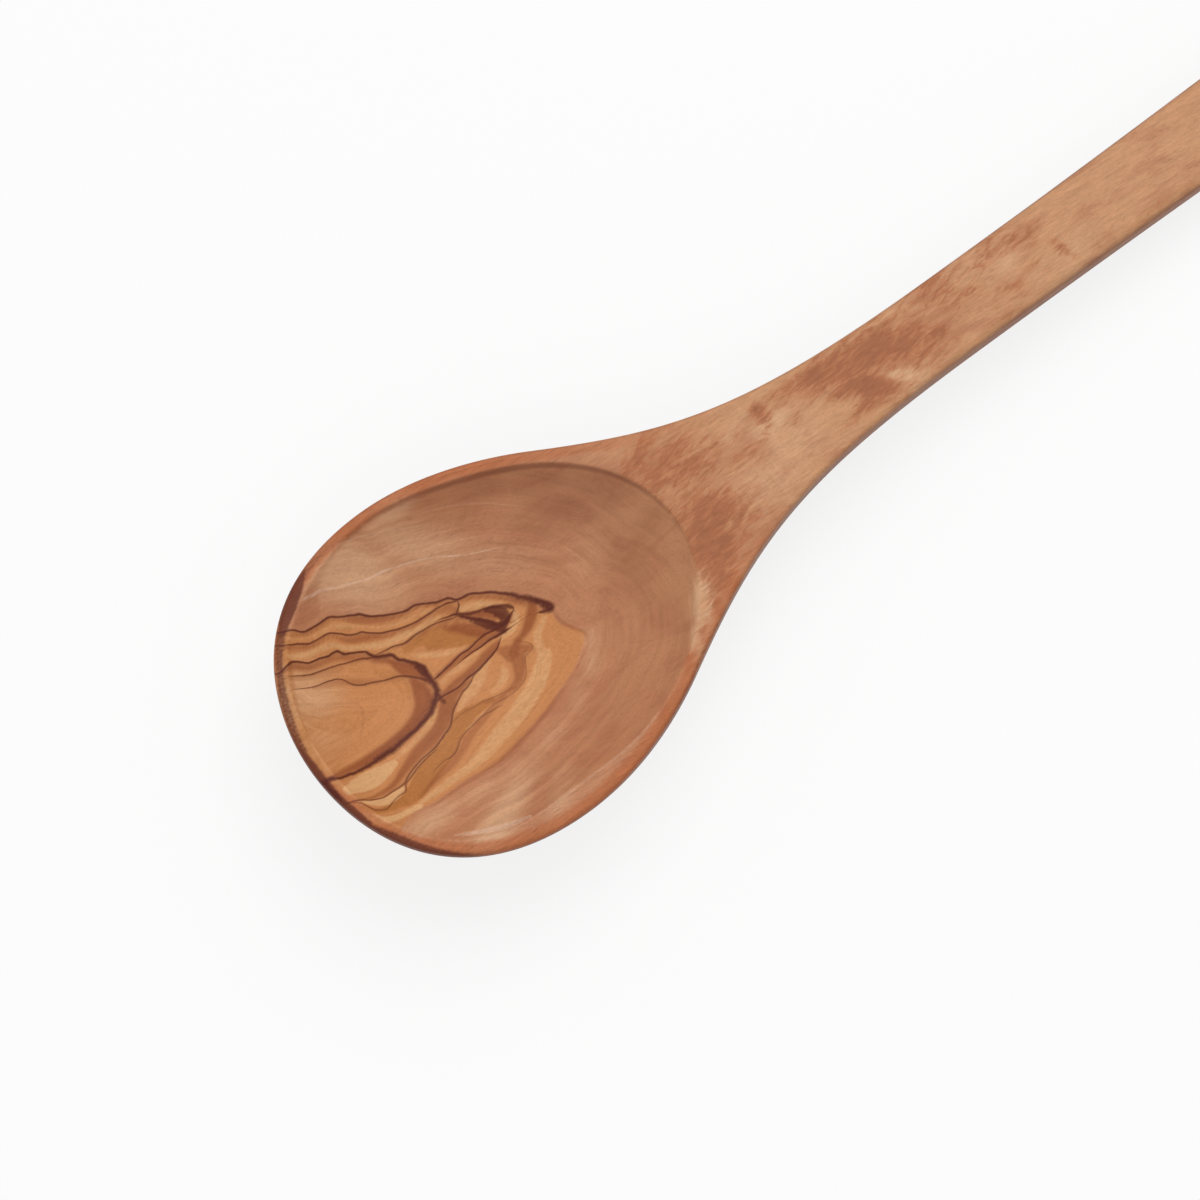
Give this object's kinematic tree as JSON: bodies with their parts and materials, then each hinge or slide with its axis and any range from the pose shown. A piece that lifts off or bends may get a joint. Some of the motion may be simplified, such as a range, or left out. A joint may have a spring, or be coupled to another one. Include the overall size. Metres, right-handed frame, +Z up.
{
  "type": "wooden spoon",
  "caption": "Hand-carved olive-wood cooking spoon: an egg-shaped bowl with a round hollow, and a flat handle that widens to a rounded end.",
  "frame": {"origin": "middle of the bounding box's bottom, on the surface that the spoon lies on, resting on the belly of its bowl and on its handle's end", "axes": "+X along the spoon from the bowl's tip to the handle's end, +Z up, out of the bowl's hollow, +Y across the spoon"},
  "size_m": [0.3197, 0.0724, 0.0236],
  "materials": {
    "olive_wood": "sanded and oiled, satin"
  },
  "bodies": {
    "root": {"spoon": "olive_wood"}
  },
  "joints": []
}
